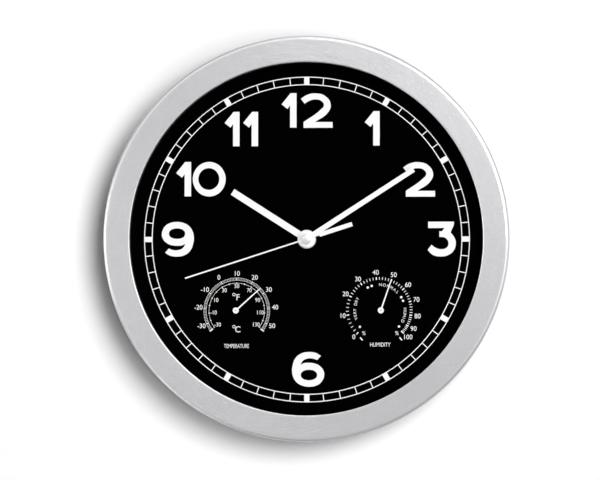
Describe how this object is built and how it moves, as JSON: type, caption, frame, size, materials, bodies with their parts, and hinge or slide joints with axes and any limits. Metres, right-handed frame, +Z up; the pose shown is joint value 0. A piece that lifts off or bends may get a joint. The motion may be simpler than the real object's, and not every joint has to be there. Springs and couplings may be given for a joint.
{
  "type": "wall clock with thermometer and hygrometer",
  "caption": "Round wall clock with a brushed metal ring, black dial, bold white numerals and hands, and a needle thermometer and hygrometer set in the dial.",
  "frame": {"origin": "on the hands' axis, in the plane of the rear rim that rests on the wall", "axes": "+Y into the wall, so the dial faces -Y; +Z up to twelve o'clock; +X to three o'clock"},
  "size_m": [0.3, 0.0419, 0.3],
  "materials": {
    "bezel_aluminium": "circular brushed, clear anodised",
    "window_glass": "clear, polished",
    "seal_rubber": "matt",
    "case_plastic": "fine moulded grain",
    "dial_black": "matt black print",
    "hand_white": "matt white lacquer",
    "cap_silver": "satin plated",
    "zinc_steel": "zinc plated",
    "movement_plastic": "moulded, slight sheen",
    "wheel_plastic": "natural moulded",
    "board_green": "solder mask",
    "copper_winding": "enamelled copper wire",
    "ferrite": "sintered",
    "cell_jacket": "plain printed jacket",
    "nut_brass": "turned",
    "bimetal": "rolled strip",
    "cup_plastic": "moulded",
    "button_plastic": "moulded"
  },
  "bodies": {
    "case": {"bezel": "bezel_aluminium", "glass": "window_glass", "glass_seal": "seal_rubber", "cushion_washer": "seal_rubber", "spacer_ring": "case_plastic", "case_body": "case_plastic", "rear_cover": "case_plastic", "dial_plate": "dial_black", "rear_cover_screws": "zinc_steel", "hanger_plate": "zinc_steel", "hanger_screws": "zinc_steel", "movement_screws": "zinc_steel", "dial_washer": "zinc_steel", "quartz_crystal": "zinc_steel", "positive_contact": "zinc_steel", "negative_contact": "zinc_steel", "seconds_stator": "zinc_steel", "minutes_stator": "zinc_steel", "button_domes": "zinc_steel", "movement_front_case": "movement_plastic", "movement_back_case": "movement_plastic", "control_chip": "movement_plastic", "train_plate": "wheel_plastic", "circuit_board": "board_green", "antenna_coil": "copper_winding", "seconds_coil": "copper_winding", "minutes_coil": "copper_winding", "antenna_rod": "ferrite", "battery": "cell_jacket", "centre_nut": "nut_brass", "thermometer_coil": "bimetal", "hygrometer_coil": "bimetal", "thermometer_cup": "cup_plastic", "hygrometer_cup": "cup_plastic"},
    "hour_body": {"hour_hand": "hand_white", "hour_wheel": "wheel_plastic"},
    "minute_body": {"minute_hand": "hand_white", "minute_wheel": "wheel_plastic"},
    "second_body": {"second_hand": "hand_white", "second_wheel": "wheel_plastic", "hand_cap": "cap_silver"},
    "motion_body": {"motion_wheel": "wheel_plastic"},
    "third_body": {"third_wheel": "wheel_plastic"},
    "minutes_idler_body": {"minutes_idler": "wheel_plastic"},
    "minutes_rotor_body": {"minutes_rotor": "zinc_steel"},
    "seconds_idler_body": {"seconds_idler": "wheel_plastic"},
    "seconds_rotor_body": {"seconds_rotor": "zinc_steel"},
    "thermometer_body": {"thermometer_arbor": "zinc_steel", "thermometer_needle": "hand_white"},
    "hygrometer_body": {"hygrometer_arbor": "zinc_steel", "hygrometer_needle": "hand_white"},
    "set_button_body": {"set_button": "button_plastic"},
    "signal_button_body": {"signal_button": "button_plastic"}
  },
  "joints": [
    {"name": "minute_turn", "type": "hinge", "parent": "case", "child": "minute_body", "pos_m": [0, -0.0295, 0], "axis": [0, 1, 0], "continuous": true},
    {"name": "hour_turn", "type": "hinge", "parent": "case", "child": "hour_body", "pos_m": [0, -0.0277, 0], "axis": [0, 1, 0], "continuous": true},
    {"name": "motion_turn", "type": "hinge", "parent": "case", "child": "motion_body", "pos_m": [0, -0.016, 0.0108], "axis": [0, 1, 0], "continuous": true},
    {"name": "third_turn", "type": "hinge", "parent": "case", "child": "third_body", "pos_m": [0.0098, -0.016, 0], "axis": [0, 1, 0], "continuous": true},
    {"name": "minutes_idler_turn", "type": "hinge", "parent": "case", "child": "minutes_idler_body", "pos_m": [0.01901, -0.016, 0.00335], "axis": [0, 1, 0], "continuous": true},
    {"name": "minutes_rotor_turn", "type": "hinge", "parent": "case", "child": "minutes_rotor_body", "pos_m": [0.02544, -0.016, 0.00875], "axis": [0, 1, 0], "continuous": true},
    {"name": "second_turn", "type": "hinge", "parent": "case", "child": "second_body", "pos_m": [0, -0.031, 0], "axis": [0, 1, 0], "continuous": true},
    {"name": "seconds_idler_turn", "type": "hinge", "parent": "case", "child": "seconds_idler_body", "pos_m": [-0.00921, -0.016, -0.00335], "axis": [0, 1, 0], "continuous": true},
    {"name": "seconds_rotor_turn", "type": "hinge", "parent": "case", "child": "seconds_rotor_body", "pos_m": [-0.0171, -0.016, -0.00048], "axis": [0, 1, 0], "continuous": true},
    {"name": "thermometer_swing", "type": "hinge", "parent": "case", "child": "thermometer_body", "pos_m": [-0.0526, -0.0252, -0.0528], "axis": [0, 1, 0], "range_deg": [-175.8, 80.2], "stiffness_Nm_per_rad": 0.001},
    {"name": "hygrometer_swing", "type": "hinge", "parent": "case", "child": "hygrometer_body", "pos_m": [0.0549, -0.0252, -0.0528], "axis": [0, 1, 0], "range_deg": [-155.3, 114.6], "stiffness_Nm_per_rad": 0.001},
    {"name": "set_press", "type": "slide", "parent": "case", "child": "set_button_body", "axis": [0, -1, 0], "range_m": [0, 0.0006], "stiffness_N_per_m": 400},
    {"name": "signal_press", "type": "slide", "parent": "case", "child": "signal_button_body", "axis": [0, -1, 0], "range_m": [0, 0.0006], "stiffness_N_per_m": 400}
  ],
  "couplings": [
    {"joint": "motion_turn", "follows": "minute_turn", "ratio": -0.33333},
    {"joint": "hour_turn", "follows": "minute_turn", "ratio": 0.083333},
    {"joint": "third_turn", "follows": "minute_turn", "ratio": -6},
    {"joint": "minutes_idler_turn", "follows": "minute_turn", "ratio": 36},
    {"joint": "minutes_rotor_turn", "follows": "minute_turn", "ratio": -180},
    {"joint": "seconds_idler_turn", "follows": "second_turn", "ratio": -6},
    {"joint": "seconds_rotor_turn", "follows": "second_turn", "ratio": 30}
  ]
}
